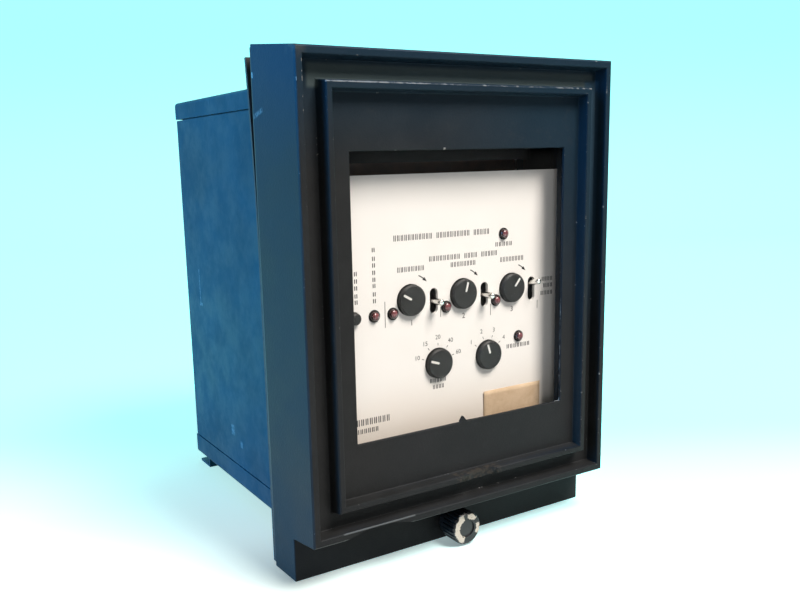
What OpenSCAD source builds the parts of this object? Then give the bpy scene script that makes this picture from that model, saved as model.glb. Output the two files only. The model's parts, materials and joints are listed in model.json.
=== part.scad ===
// Draw-out protection relay for a switchboard panel.
// X runs to the right seen from the front, Y to the rear, Z up, in millimetres.
// Y = 0 is the face of the panel that the relay is fixed to, Z = 0 the middle of the case.

/* [Cover] */
// Width of the cover at its back edge
cover_w = 169; // [150:0.5:190]
// Height of the cover with its chin
cover_h = 229.2; // [215:0.1:245]
// Depth of the cover
cover_d = 37.8; // [36:0.1:50]
// Taper of each side over the depth
side_draft = 1.5; // [0.5:0.1:4]
// Taper of the top and of the underside over the depth
top_draft = 4.2; // [1:0.1:6]
// Wall of the moulded cover
cover_wall = 3.2; // [2.4:0.1:4]
// How far the chin reaches below the case
chin_drop = 6.3; // [3:0.1:8]
// How far the cover reaches above the case
cover_over = 13.3; // [10:0.1:16]
// Height of the chin under the front lip
chin_h = 22.2; // [19:0.1:26]
// How far the chin stands back from the front lip
chin_setback = 18.5; // [16:0.1:21]
// Width of the outer front lip
lip_w = 3.2; // [2:0.1:4]
// Edge break on the moulded lips
lip_chamfer = 0.7; // [0.3:0.1:1]
// Distance from the outer edge of the front to the inner rim
rim_margin = 12.6; // [10:0.1:14]
// Depth of the channel between lip and rim
channel_depth = 6.5; // [4:0.1:8]
// Width of the inner rim's front
rim_w = 3; // [2:0.1:4]
// How far the inner rim stands in front of the lip
rim_proud = 0.4; // [0:0.1:1.5]
// Set-back of the field round the window
field_setback = 4.7; // [3:0.1:6]
// Width of the window
window_w = 115.8; // [100:0.1:120]
// Height of the window
window_h = 123.4; // [110:0.1:138]
// Thickness of the lip in front of the pane
window_lip = 1.8; // [1.2:0.1:2.5]
// Thickness of the pane
pane_t = 2.5; // [2:0.1:3]
// How far the pane reaches behind the lip
pane_lap = 3.5; // [3:0.1:4]
// Thickness of the frame that holds the pane
retainer_t = 3; // [2:0.1:4]
// Width and height of the small nub at the window's lower edge
nub = 2.6; // [1.5:0.1:4]

/* [Thumb nut] */
// Radius of the thumb nut
nut_r = 8; // [7:0.1:8.2]
// How far the nut stands out of the chin
nut_reach = 13.7; // [10:0.1:15]
// Height of the nut's axis over the chin's underside
nut_rise = 8.7; // [8.3:0.1:9]
// Radius of the stud that it turns on
stud_r = 2.5; // [2:0.1:3]
// Radius of the sleeve that passes through the chin
sleeve_r = 4.5; // [4:0.1:5]

/* [Case] */
// Distance from the cover's side to the side of the case
case_inset = 18; // [16:0.5:19]
// Depth of the case behind the panel face
case_d = 151; // [145:0.5:170]
// Sheet of the case
sheet_t = 1.5; // [1:0.1:2]
// Depth of the lid's turned-down lip
lid_lip = 9.3; // [6:0.1:12]
// Depth of the pan's turned-up lip
pan_lip = 11.5; // [6:0.1:12]
// Open seam between the side sheets and the lips
seam = 0.8; // [0.4:0.1:1.2]
// Length of the foot under the back edge
foot_l = 15; // [10:0.5:20]
// Thickness of the mounting flange
flange_t = 1.9; // [1.5:0.1:3]
// Thickness of the gasket to the panel
gasket_t = 1.5; // [1:0.1:2.5]
// Thickness of the seal under the cover
seal_t = 0.8; // [0.5:0.1:1.5]
// Distance of the flange's edge from the cover's edge
flange_inset = 1; // [0.5:0.1:1.6]
// Width of the seal strip
seal_w = 2.4; // [1.8:0.1:2.6]
// Distance of the gasket's upper edge from the cover's edge
gasket_drop = 4.2; // [3.5:0.1:8]
// Radius of the mounting studs
mount_r = 2.4; // [2:0.1:3]
// Length of the mounting studs behind the panel face
mount_l = 13; // [12:0.5:24]
// Distance of the mounting studs from the cover's side
mount_inset = 10; // [9:0.5:12]
// Distance of the mounting studs from the top and bottom of the case
mount_drop = 34.8; // [20:0.1:50]
// Length of the gasket strip that has come loose
curl_l = 100; // [60:1:120]
// Radius that the loose strip has bent to
curl_r = 1100; // [800:10:2000]

/* [Front panel] */
// Distance from the cover's side to the side of the front panel
panel_inset = 14.5; // [11.5:0.5:17]
// Distance from the case's top and bottom to the edge of the front panel
panel_drop = 40.6; // [38:0.1:42]
// Thickness of the front panel
panel_t = 1.6; // [1:0.1:2]
// Room between front panel and sub-panel
control_depth = 14.4; // [14:0.1:18]
// Thickness of the sub-panel
sub_t = 1.5; // [1:0.1:2.5]
// Distance from knob to knob
knob_pitch = 29.1; // [28.6:0.1:30]
// Place of the first delay knob across
knob_x = -22; // [-24:0.1:-21]
// Height of the delay knobs
knob_z = 8.4; // [8:0.1:10]
// Radius of the knobs
knob_r = 6.95; // [6:0.05:7]
// How far the knobs stand out of the panel
knob_proud = 2.6; // [1:0.1:4]
// Radius of the control shafts
shaft_r = 3; // [2.5:0.05:3.2]
// Place of the first selector knob across
selector_x = -7.2; // [-10:0.1:-6]
// Height of the selector knobs
selector_z = -22.8; // [-26:0.1:-21]
// Place of a lamp beside its knob
lamp_dx = -9.5; // [-9.9:0.1:-9.1]
// Height of the row of lamps
lamp_z = 3.2; // [2:0.1:3.3]
// Radius of the lamps
lamp_r = 2.35; // [2:0.05:2.4]
// Place of a toggle beside its knob
toggle_dx = 12.8; // [12.4:0.1:13.4]
// Height of the toggles
toggle_z = 6.7; // [5:0.1:8]
// Width of the toggle slots
slot_w = 4.4; // [3.8:0.1:5]
// Length of the toggle slots
slot_l = 11.8; // [11:0.1:14]
// How far the levers stand out of the panel
lever_reach = 7; // [5:0.1:8]
// Swing of a lever to each side
lever_swing = 14; // [10:0.5:15]
// Radius of the reset button
reset_r = 2.6; // [2.4:0.1:3]
// Travel of the reset button
reset_travel = 2; // [1:0.1:2.5]

/* [Rear terminals] */
// Width of a terminal block
block_w = 112; // [104:0.5:116]
// Height of a terminal block
block_h = 38; // [36:0.5:42]
// Height of the blocks' middle above and below the case's middle
block_z = 60; // [50:0.5:70]
// Depth of the barriers
barrier_d = 12; // [8:0.5:14]
// Screws in each row
block_cols = 5; // [4:1:6]

/* [Hidden] */
$fn = 40;
eps = 0.01;
// Running clearance on a radius, and the seat clearance between moving pieces
run = 0.05;
seat = 0.3;
// Clearance of a piece that is pushed or set into another
set_in = 0.1;

// Stack of faces along Y
flange_rear_y = -gasket_t;
flange_y = flange_rear_y - flange_t;
cover_rear_y = flange_y - seal_t;
cover_y = cover_rear_y - cover_d;
chin_y = cover_y + chin_setback;
floor_y = cover_y + channel_depth;
floor_t = 3.6;
cavity_y = floor_y + floor_t;
rim_y = cover_y - rim_proud;
field_y = cover_y + field_setback;
pane_y = field_y + window_lip;
retainer_y = pane_y + pane_t;
lever_gap = 1;
panel_y = retainer_y + lever_gap + lever_reach;
panel_rear_y = panel_y + panel_t;
sub_y = panel_rear_y + control_depth;
sub_rear_y = sub_y + sub_t;
rear_in_y = case_d - sheet_t;

// Case, studs and front panel follow the cover
case_w = cover_w - 2 * case_inset;
case_h = cover_h - chin_drop - cover_over;
mount_dx = cover_w - 2 * mount_inset;
mount_dz = case_h - 2 * mount_drop;
panel_w = cover_w - 2 * panel_inset;
panel_h = case_h - 2 * panel_drop;

// Heights
case_top = case_h / 2;
base_z = -case_top - chin_drop;
cover_top = base_z + cover_h;
front_top = cover_top - top_draft;
front_bottom = base_z + chin_h;
back_bottom = front_bottom - top_draft;
front_half = cover_w / 2 - side_draft;
rim_half = front_half - rim_margin;
rim_top = front_top - rim_margin;
rim_bottom = front_bottom + rim_margin;
window_z = (rim_top + rim_bottom) / 2;
nut_z = base_z + nut_rise;
flange_half = cover_w / 2 - flange_inset;
flange_top = cover_top - flange_inset;
flange_bottom = base_z + flange_inset;
gasket_top = cover_top - gasket_drop;
flange_rect = [flange_half, flange_bottom, flange_top];
case_half = case_w / 2;
case_in = case_half - sheet_t;
sheet_mid = case_half - sheet_t / 2;
lid_under = case_top - sheet_t;

// Chassis in the case
rail_t = 2.6;
chassis_t = 1.2;
chassis_half = case_in - rail_t - 0.2;
chassis_in = chassis_half - chassis_t;
chassis_h = panel_h - 4;
chassis_back_gap = 14;
chassis_end = case_d - chassis_back_gap;
contact_z = chassis_h / 2;
plug_gap = 6;
finger_t = 0.6;
contact_h = 16;
contact_y = 2;
contact_d = 32;
case_block_z = contact_z + contact_h + plug_gap;
finger_n = 10;
finger_pitch = 10.6;

// Pointer angles of the knobs, clockwise from the top
pointer = [-60, 15, 39, -72, -18];
knob_at = [
    for (i = [0:2]) [knob_x + i * knob_pitch, knob_z],
    for (i = [0:1]) [selector_x + i * knob_pitch, selector_z]
];
toggle_at = [for (i = [0:2]) [knob_x + i * knob_pitch + toggle_dx, toggle_z]];
lever_tilt = [0, 0, lever_swing];
fail_lamp_dx = -9.6;
reset_dx = -10.2;
power_lamp = [31.4, 34.7];
lockout_lamp = [40.9, -16.1];
first_lamp_x = knob_x + lamp_dx;
reset_at = [first_lamp_x + fail_lamp_dx + reset_dx, lamp_z];
lamp_at = [
    for (i = [0:2]) [first_lamp_x + i * knob_pitch, lamp_z],
    [first_lamp_x + fail_lamp_dx, lamp_z],
    power_lamp,
    lockout_lamp
];
pivot_y = panel_rear_y + 10;
bushing_r = 4.7;
toggle_bush_r = 3.1;
toggle_bore_r = 2.1;
ball_r = 1.9;
spacer_r = 3;
spacer_in = 6;
spacer_at = [
    for (x = [-1, 1], z = [-1, 1])
        [x * (chassis_half - spacer_in), z * (chassis_h / 2 - spacer_in)]
];

// Half width of the tapered cover at a place along Y
function cover_half(y) = front_half + side_draft * (y - cover_y) / cover_d;
function cover_roof(y) = front_top + top_draft * (y - cover_y) / cover_d;
function cover_under(y) = front_bottom - top_draft * (y - cover_y) / cover_d;

// Box between two corners
module span(a, b) {
    translate(a) cube(b - a);
}

// Rod along Y at a place on the front
module rod(y0, y1, r, at = [0, 0], sides = 40) {
    translate([at.x, y0, at.y])
        rotate([-90, 0, 0])
            cylinder(h = y1 - y0, r = r, $fn = sides);
}

// Cone along Y
module taper(y0, y1, r0, r1, at = [0, 0]) {
    translate([at.x, y0, at.y])
        rotate([-90, 0, 0])
            cylinder(h = y1 - y0, r1 = r0, r2 = r1);
}

// Block with a rectangle at each end, each given as half width, bottom and top
module tapered_block(y0, a, y1, b) {
    polyhedron(
        points = [
            [-a[0], y0, a[1]], [a[0], y0, a[1]], [a[0], y0, a[2]], [-a[0], y0, a[2]],
            [-b[0], y1, b[1]], [b[0], y1, b[1]], [b[0], y1, b[2]], [-b[0], y1, b[2]]
        ],
        faces = [
            [3, 2, 1, 0], [4, 5, 6, 7], [0, 1, 5, 4],
            [2, 3, 7, 6], [1, 2, 6, 5], [3, 0, 4, 7]
        ]
    );
}

// Rectangle of half width, bottom and top, grown by a margin
function grown(r, m) = [r[0] + m, r[1] - m, r[2] + m];

// Flat frame along Y: an outline with an opening
module frame_plate(y0, y1, outer, inner) {
    difference() {
        span([-outer[0], y0, outer[1]], [outer[0], y1, outer[2]]);
        span([-inner[0], y0 - 1, inner[1]], [inner[0], y1 + 1, inner[2]]);
    }
}

// Rectangle with true round corners
module round_rect(size, r) {
    translate([-size.x / 2 + r, -size.y / 2]) square([size.x - 2 * r, size.y]);
    translate([-size.x / 2, -size.y / 2 + r]) square([size.x, size.y - 2 * r]);
    for (x = [-1, 1], y = [-1, 1])
        translate([x * (size.x / 2 - r), y * (size.y / 2 - r)]) circle(r);
}

// Upright slot through a plate
module slot_cut(y0, y1, w, l, at) {
    flat = l - w;
    span([at.x - w / 2, y0, at.y - flat / 2], [at.x + w / 2, y1, at.y + flat / 2]);
    for (s = [-1, 1]) rod(y0, y1, w / 2, [at.x, at.y + s * flat / 2]);
}

// Cover

window_rect = [window_w / 2, window_z - window_h / 2, window_z + window_h / 2];
pane_rect = grown(window_rect, pane_lap);
retainer_rect = grown(pane_rect, 3.6);
retainer_hold = 1.1;
retainer_open = grown(pane_rect, -retainer_hold);
retainer_screw_r = 1.25;
retainer_screw_at = [
    for (x = [-1, 1], z = [-0.8, 0, 0.8]) [x * (pane_rect[0] + 1.8), window_z + z * window_h / 2]
];
screw_depth = 3;

module cover_shell() {
    front = [front_half, front_bottom, front_top];
    rim = [rim_half, rim_bottom, rim_top];
    lip_y = cover_y + lip_chamfer;
    difference() {
        union() {
            tapered_block(
                lip_y, [cover_half(lip_y), base_z, cover_roof(lip_y)],
                cover_rear_y, [cover_w / 2, base_z, cover_top]);
            tapered_block(
                cover_y, grown(front, -lip_chamfer),
                lip_y, [cover_half(lip_y), cover_under(lip_y), cover_roof(lip_y)]);
        }
        // Room under the front lip, ahead of the chin
        tapered_block(
            lip_y - eps, [cover_w, base_z - 10, cover_under(lip_y)],
            chin_y, [cover_w, base_z - 10, cover_under(chin_y)]);
        tapered_block(cover_y - 1, grown(front, -lip_w), floor_y, grown(front, -lip_w - 1));
    }
    tapered_block(rim_y + lip_chamfer, rim, cavity_y, grown(rim, 1.4));
    tapered_block(rim_y, grown(rim, -lip_chamfer), rim_y + lip_chamfer, rim);
}

module cover_hollow() {
    rear_y = cover_rear_y + 1;
    chin_in = chin_y + cover_wall;
    difference() {
        tapered_block(
            cavity_y, grown([cover_half(cavity_y), base_z, cover_roof(cavity_y)], -cover_wall),
            rear_y, grown([cover_half(rear_y), base_z, cover_roof(rear_y)], -cover_wall));
        tapered_block(
            cavity_y - 1, [cover_w, base_z - 10, cover_under(cavity_y - 1) + cover_wall],
            chin_in, [cover_w, base_z - 10, cover_under(chin_in) + cover_wall]);
    }
}

module cover_chips() {
    // Smooth worn wave in the lower lip
    wave_w = 35;
    wave_h = 2.9;
    wave_r = (wave_w * wave_w / 4 + wave_h * wave_h) / (2 * wave_h);
    wave_x = -front_half * 0.61;
    rod(cover_y - 1, floor_y - 0.5, wave_r, [wave_x, front_bottom + wave_h - wave_r], 120);
    // Broken piece of the lower inner rim
    chip_x = 3;
    translate([chip_x, rim_y, rim_bottom - 2])
        linear_extrude(rim_w + 3)
            polygon([[-11, -1], [-9, 0.6], [-4, 1.1], [-1, 2.1], [4, 1.5], [8, 2.6], [11, 0.5], [12, -1]]);
}

boss_l = 11;
boss_end_y = chin_y + boss_l;

module cover() color([0.12, 0.13, 0.14]) {
    difference() {
        union() {
            difference() {
                cover_shell();
                cover_hollow();
            }
            rod(chin_y + 1, boss_end_y, sleeve_r + 3.2, [0, nut_z]);
        }
        tapered_block(
            rim_y - 1, [rim_half - rim_w + 0.2, rim_bottom + rim_w - 0.2, rim_top - rim_w + 0.2],
            field_y, [rim_half - rim_w - 0.8, rim_bottom + rim_w + 0.8, rim_top - rim_w - 0.8]);
        span([-window_rect[0], field_y - 1, window_rect[1]], [window_rect[0], cavity_y + 1, window_rect[2]]);
        pane_seat = grown(pane_rect, set_in);
        span([-pane_seat[0], pane_y, pane_seat[1]], [pane_seat[0], cavity_y + 1, pane_seat[2]]);
        frame_seat = grown(retainer_rect, set_in);
        span([-frame_seat[0], retainer_y, frame_seat[1]], [frame_seat[0], cavity_y + 1, frame_seat[2]]);
        for (at = retainer_screw_at)
            rod(retainer_y - screw_depth - 0.2, retainer_y + 1, retainer_screw_r + run, at);
        rod(chin_y - 1, boss_end_y + 1, sleeve_r + run, [0, nut_z]);
        cover_chips();
    }
    // Nub at the middle of the window's lower edge
    translate([-1.7, pane_y, window_rect[1]])
        rotate([90, 0, 0])
            linear_extrude(window_lip)
                polygon([[-nub, -1], [nub, -1], [0, nub]]);
}

module window_pane() color([0.75, 0.82, 0.85, 0.35])
    span([-pane_rect[0], pane_y, pane_rect[1]], [pane_rect[0], retainer_y, pane_rect[2]]);

module pane_retainer() color([0.1, 0.1, 0.1])
    difference() {
        frame_plate(retainer_y, retainer_y + retainer_t, retainer_rect, retainer_open);
        for (at = retainer_screw_at)
            rod(retainer_y - 1, retainer_y + retainer_t + 1, retainer_screw_r + run, at);
    }

module retainer_screws() color("silver")
    for (at = retainer_screw_at) {
        head_y = retainer_y + retainer_t;
        difference() {
            union() {
                rod(retainer_y - screw_depth, head_y + eps, retainer_screw_r, at);
                rod(head_y, head_y + 1.4, 1.7, at);
            }
            span([at.x - 2, head_y + 0.8, at.y - 0.25], [at.x + 2, head_y + 2, at.y + 0.25]);
        }
    }

module cover_seal() color([0.05, 0.05, 0.05]) {
    outer = grown(flange_rect, -seat);
    frame_plate(cover_rear_y, flange_y - run, outer, grown(outer, -seal_w));
}

// Thumb nut

nut_face_y = chin_y - nut_reach;
nut_seat_y = chin_y - seat;
clip_t = 0.8;
clip_y = boss_end_y + seat;
sleeve_end_y = clip_y + clip_t + 1.2;
clip_groove_r = sleeve_r - 0.8;
clip_r = nut_rise - cover_wall - seat;
flute_n = 24;
flute_r = 0.55;

module thumb_nut() color([0.08, 0.08, 0.08]) {
    at = [0, nut_z];
    neck_l = 4;
    difference() {
        union() {
            taper(nut_face_y, nut_face_y + 0.8, nut_r - 0.8, nut_r, at);
            rod(nut_face_y + 0.8, nut_seat_y - neck_l, nut_r, at);
            rod(nut_seat_y - neck_l - eps, nut_seat_y, nut_r - 1.2, at);
            rod(nut_seat_y - eps, sleeve_end_y, sleeve_r, at);
        }
        for (i = [0:flute_n - 1]) {
            a = i * 360 / flute_n;
            rod(nut_face_y - 1, nut_seat_y - neck_l + 1, flute_r, at + nut_r * [cos(a), sin(a)], 16);
        }
        rod(nut_face_y - 1, nut_face_y + 0.7, nut_r * 0.52, at);
        rod(nut_face_y + 4, sleeve_end_y + 1, stud_r + run, at);
        difference() {
            rod(clip_y - run, clip_y + clip_t + run, sleeve_r + 1, at);
            rod(clip_y - 1, clip_y + clip_t + 1, clip_groove_r, at);
        }
    }
}

// Horseshoe clip in the sleeve's groove, small enough to turn clear of the cover's floor
module nut_clip() color("silver")
    difference() {
        rod(clip_y, clip_y + clip_t, clip_r, [0, nut_z]);
        rod(clip_y - 1, clip_y + clip_t + 1, clip_groove_r + run, [0, nut_z]);
        slot_half = clip_groove_r + run;
        span([-slot_half, clip_y - 1, nut_z - sleeve_r - 4], [slot_half, clip_y + 2, nut_z]);
    }

module cover_stud() color("silver") {
    collar = 2;
    rod(nut_face_y + 6, flange_y - collar, stud_r, [0, nut_z]);
    rod(flange_y - collar - eps, flange_y, stud_r + 1, [0, nut_z]);
}

// Case

bend_r = 2;
tongue = 6;
cutout = [block_w - 8, block_h - 6];

module case_wrap() color([0.1, 0.13, 0.16]) {
    low = -case_top + pan_lip + seam;
    high = case_top - lid_lip - seam;
    start_y = flange_rear_y - 2 * bend_r;
    difference() {
        union() {
            translate([0, (case_d + start_y) / 2, low])
                linear_extrude(high - low)
                    round_rect([case_w, case_d - start_y], bend_r);
            translate([0, (rear_in_y + start_y) / 2, low - tongue])
                linear_extrude(high - low + 2 * tongue)
                    round_rect([case_w - 2 * sheet_t, rear_in_y - start_y], bend_r);
        }
        span(
            [-case_in + sheet_t, start_y - 1, -case_top],
            [case_in - sheet_t, rear_in_y, case_top]);
        span(
            [-case_in, start_y - 1, low + tongue],
            [case_in, rear_in_y, high - tongue]);
        span([-case_half - 1, start_y - 1, -case_top], [case_half + 1, flange_rear_y, case_top]);
        // Seam left open at the upper rear corners
        span([-case_half, rear_in_y - tongue, high], [case_half, case_d, case_top]);
        for (s = [-1, 1])
            span(
                [-cutout.x / 2, rear_in_y - 1, s * block_z - cutout.y / 2],
                [cutout.x / 2, case_d + 1, s * block_z + cutout.y / 2]);
    }
}

// Channel with two lips, open downward, along Y
module lipped_channel(lip, y0, y1) {
    translate([0, y1, case_top - lip])
        rotate([90, 0, 0])
            linear_extrude(y1 - y0)
                difference() {
                    translate([0, lip / 2 - bend_r]) round_rect([case_w, lip + 2 * bend_r], bend_r);
                    translate([-case_w, -3 * bend_r]) square([2 * case_w, 3 * bend_r]);
                    translate([-case_in, -1]) square([case_in * 2, lip - sheet_t + 1]);
                }
}

module case_lid() color([0.1, 0.13, 0.16]) {
    lipped_channel(lid_lip, flange_rear_y, case_d);
    span([-sheet_mid, rear_in_y, case_top - lid_lip], [sheet_mid, case_d, case_top - sheet_t / 2]);
}

module case_pan() color([0.1, 0.13, 0.16]) {
    notch_y = case_d - foot_l;
    mirror([0, 0, 1]) lipped_channel(pan_lip, flange_rear_y, case_d);
    span([-sheet_mid, rear_in_y, -case_top + sheet_t / 2], [sheet_mid, case_d, -case_top + pan_lip]);
    // Folded foot under the back edge
    span([-case_half + bend_r, notch_y, base_z], [case_half - bend_r, notch_y + sheet_t, -case_top + eps]);
    span([-case_half + bend_r, notch_y, base_z], [case_half - bend_r, case_d, base_z + sheet_t]);
}

flange_open = [case_in - 1.4, -case_top + sheet_t + 2, case_top - sheet_t - 2];
mount_at = [for (x = [-1, 1], z = [-1, 1]) [x * mount_dx / 2, z * mount_dz / 2]];

module mounting_flange() color([0.12, 0.13, 0.14])
    frame_plate(flange_y, flange_rear_y, flange_rect, flange_open);

module panel_gasket() color([0.04, 0.04, 0.04]) {
    outer = [flange_half, flange_bottom, gasket_top];
    inner = grown([case_half, -case_top, case_top], seat);
    gasket_clear = 1.2;
    curl_z = gasket_top - curl_l;
    angle = curl_l / curl_r * 180 / PI;
    steps = 8;
    front_arc = [for (i = [0:steps]) let (a = angle * i / steps) [1 - cos(a), sin(a)] * curl_r];
    back_r = curl_r - gasket_t;
    back_arc = [for (i = [steps:-1:0]) let (a = angle * i / steps) [1 - cos(a), sin(a)] * back_r];
    difference() {
        union() {
            difference() {
                frame_plate(flange_rear_y, 0, outer, inner);
                span([-flange_half - 1, flange_rear_y - 1, curl_z], [-inner[0], 1, gasket_top + 1]);
            }
            // Upper left strip, come loose and bent back
            translate([-flange_half, flange_rear_y, curl_z])
                rotate([90, 0, 90])
                    linear_extrude(flange_half - inner[0])
                        polygon(concat(front_arc, [for (p = back_arc) p + [gasket_t, 0]]));
        }
        for (at = mount_at) rod(flange_rear_y - 1, mount_l, mount_r + gasket_clear, at);
    }
}

module mounting_studs() color("silver")
    for (at = mount_at) {
        rod(flange_rear_y, mount_l - 1, mount_r, at);
        taper(mount_l - 1 - eps, mount_l, mount_r, mount_r - 0.7, at);
    }

// Rear terminals

col_pitch = (block_w - 4) / block_cols;
terminal_at = [
    for (r = [-1, 1], i = [0:block_cols - 1])
        [(i - (block_cols - 1) / 2) * col_pitch, r * block_h / 4]
];
base_d = 5;
clamp_y = case_d + base_d;
clamp_t = 1.2;
clamp_w = 9;
screw_r = 1.95;
screw_l = 6;

module terminal_block(z) {
    rib = 2;
    difference() {
        union() {
            span([-block_w / 2, case_d, z - block_h / 2], [block_w / 2, clamp_y, z + block_h / 2]);
            span(
                [-cutout.x / 2 + set_in, rear_in_y - 6, z - cutout.y / 2 + set_in],
                [cutout.x / 2 - set_in, case_d + eps, z + cutout.y / 2 - set_in]);
            for (i = [0:block_cols]) {
                x = (i - block_cols / 2) * col_pitch;
                span(
                    [x - rib / 2, clamp_y - eps, z - block_h / 2],
                    [x + rib / 2, clamp_y + barrier_d, z + block_h / 2]);
            }
            span(
                [-block_w / 2, clamp_y - eps, z - rib / 2],
                [block_w / 2, clamp_y + barrier_d, z + rib / 2]);
        }
        for (t = terminal_at) rod(clamp_y - screw_l - 0.3, clamp_y + 1, screw_r + run, [t.x, z + t.y]);
    }
}

module terminal_block_upper() color([0.07, 0.07, 0.07]) terminal_block(block_z);
module terminal_block_lower() color([0.07, 0.07, 0.07]) terminal_block(-block_z);

module terminal_clamps() color("silver")
    for (z = [-block_z, block_z], t = terminal_at)
        difference() {
            span(
                [t.x - clamp_w / 2, clamp_y, z + t.y - clamp_w / 2],
                [t.x + clamp_w / 2, clamp_y + clamp_t, z + t.y + clamp_w / 2]);
            rod(clamp_y - 1, clamp_y + clamp_t + 1, screw_r + run, [t.x, z + t.y]);
        }

module terminal_screws() color("silver")
    for (z = [-block_z, block_z], t = terminal_at) {
        at = [t.x, z + t.y];
        head_y = clamp_y + clamp_t;
        difference() {
            union() {
                rod(clamp_y - screw_l, head_y + eps, screw_r, at);
                rod(head_y, head_y + 2.6, 4, at);
            }
            span([at.x - 5, head_y + 1.4, at.y - 0.5], [at.x + 5, head_y + 4, at.y + 0.5]);
        }
    }

// Contact blocks, fingers and connection plugs

finger_at = [for (i = [0:finger_n - 1]) (i - (finger_n - 1) / 2) * finger_pitch];
finger_w = 6;
block_half = chassis_in - 0.2;

// Moulded block with grooves that the fingers lie in
module contact_block(z0, z1, groove_z) {
    difference() {
        span([-block_half, contact_y, z0], [block_half, contact_y + contact_d, z1]);
        for (x = finger_at)
            span(
                [x - finger_w / 2 - set_in, contact_y - 1, groove_z - finger_t],
                [x + finger_w / 2 + set_in, contact_y + contact_d - 4, groove_z + finger_t]);
    }
}

// Repeats its children above and below the middle
module upper_and_lower() {
    children();
    mirror([0, 0, 1]) children();
}

module case_block() contact_block(case_block_z, lid_under, case_block_z);
module chassis_block() contact_block(contact_z, contact_z + contact_h, contact_z + contact_h);
module case_contact_block_upper() color([0.3, 0.16, 0.09]) case_block();
module case_contact_block_lower() color([0.3, 0.16, 0.09]) mirror([0, 0, 1]) case_block();
module chassis_contact_block_upper() color([0.3, 0.16, 0.09]) chassis_block();
module chassis_contact_block_lower() color([0.3, 0.16, 0.09]) mirror([0, 0, 1]) chassis_block();

module contact_fingers() color([0.85, 0.75, 0.5])
    upper_and_lower()
        for (x = finger_at, z = [case_block_z, contact_z + contact_h - finger_t])
            span(
                [x - finger_w / 2, contact_y + 1, z],
                [x + finger_w / 2, contact_y + contact_d - 4, z + finger_t]);

plug_half = chassis_in - 9;
plug_drop = 12;
plug_rise = 9;
grip_h = 8;
grip_d = 9;
plug_mid = contact_z + contact_h + plug_gap / 2;
plug_t = plug_gap - 2 * finger_t - 0.6;
plug_y = chin_y + cover_wall + 1;
plug_back_y = flange_y - 1;
tongue_end = contact_y + contact_d - 8;

module connection_plug() {
    grip_half = plug_half * 0.6;
    difference() {
        union() {
            span([-plug_half, plug_y, plug_mid - plug_drop], [plug_half, plug_back_y, plug_mid + plug_rise]);
            span(
                [-plug_half, plug_back_y - eps, plug_mid - plug_t / 2],
                [plug_half, tongue_end, plug_mid + plug_t / 2]);
        }
        // Finger recess in the front
        span(
            [-grip_half, plug_y - 1, plug_mid - grip_h / 2],
            [grip_half, plug_y + grip_d, plug_mid + grip_h / 2]);
    }
}

module connection_plug_upper() color([0.06, 0.06, 0.06]) connection_plug();
module connection_plug_lower() color([0.06, 0.06, 0.06]) mirror([0, 0, 1]) connection_plug();

module plug_contacts() color("silver")
    upper_and_lower()
        for (x = finger_at, s = [-1, 1]) {
            z = plug_mid + s * plug_t / 2;
            span(
                [x - finger_w / 2, contact_y, min(z, z + s * finger_t)],
                [x + finger_w / 2, tongue_end, max(z, z + s * finger_t)]);
        }

// Chassis

rail_drop = 14;
rail_z = chassis_h / 2 - rail_drop;

module slide_rails() color("silver")
    for (x = [-1, 1], z = [-1, 1])
        span(
            [min(x * case_in, x * (case_in - rail_t)), contact_y, z * rail_z - 4],
            [max(x * case_in, x * (case_in - rail_t)), chassis_end, z * rail_z + 4]);

// Side sheet with a tab at each front corner that carries the contact blocks
module chassis_side(s) {
    x0 = s * chassis_in;
    x1 = s * chassis_half;
    lo = min(x0, x1);
    hi = max(x0, x1);
    tab = contact_z + contact_h;
    span([lo, sub_rear_y, -contact_z], [hi, chassis_end, contact_z]);
    span([lo, contact_y, -tab], [hi, contact_y + contact_d, tab]);
}

module chassis_side_left() color("silver") chassis_side(-1);
module chassis_side_right() color("silver") chassis_side(1);

module chassis_back() color("silver")
    span([-chassis_half, chassis_end, -contact_z], [chassis_half, chassis_end + chassis_t, contact_z]);

// Front panel and controls

module front_panel() color([0.93, 0.92, 0.88])
    difference() {
        span([-panel_w / 2, panel_y, -panel_h / 2], [panel_w / 2, panel_rear_y, panel_h / 2]);
        for (at = knob_at) rod(panel_y - 1, panel_rear_y + 1, knob_r + 0.35, at);
        for (at = lamp_at) rod(panel_y - 1, panel_rear_y + 1, lamp_r + set_in, at);
        for (at = toggle_at) slot_cut(panel_y - 1, panel_rear_y + 1, slot_w, slot_l, at);
        rod(panel_y - 1, panel_rear_y + 1, reset_r + 0.4, reset_at);
    }

module sub_panel() color("silver")
    difference() {
        span([-chassis_half, sub_y, -contact_z], [chassis_half, sub_rear_y, contact_z]);
        for (at = knob_at) rod(sub_y - 1, sub_rear_y + 1, bushing_r + set_in, at);
        for (at = toggle_at) rod(sub_y - 1, sub_rear_y + 1, toggle_bush_r + set_in, at);
    }

module panel_spacers() color("silver")
    for (at = spacer_at) rod(panel_rear_y, sub_y, spacer_r, at, 6);

lamp_l = 4;

module indicator_lamps() color([0.4, 0.08, 0.08])
    for (at = lamp_at) {
        rod(panel_y, panel_rear_y + eps, lamp_r, at);
        rod(panel_rear_y, panel_rear_y + lamp_l, lamp_r + 0.4, at);
        translate([at.x, panel_y, at.y])
            intersection() {
                sphere(lamp_r);
                span([-lamp_r, -lamp_r, -lamp_r], [lamp_r, eps, lamp_r]);
            }
    }

bush_l = 4;
shaft_tail = 6;
bush_end_y = sub_y - bush_l;
shaft_end_y = sub_rear_y + shaft_tail;
pot_size = [8, 11.5];
switch_size = [12.5, 16];

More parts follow.
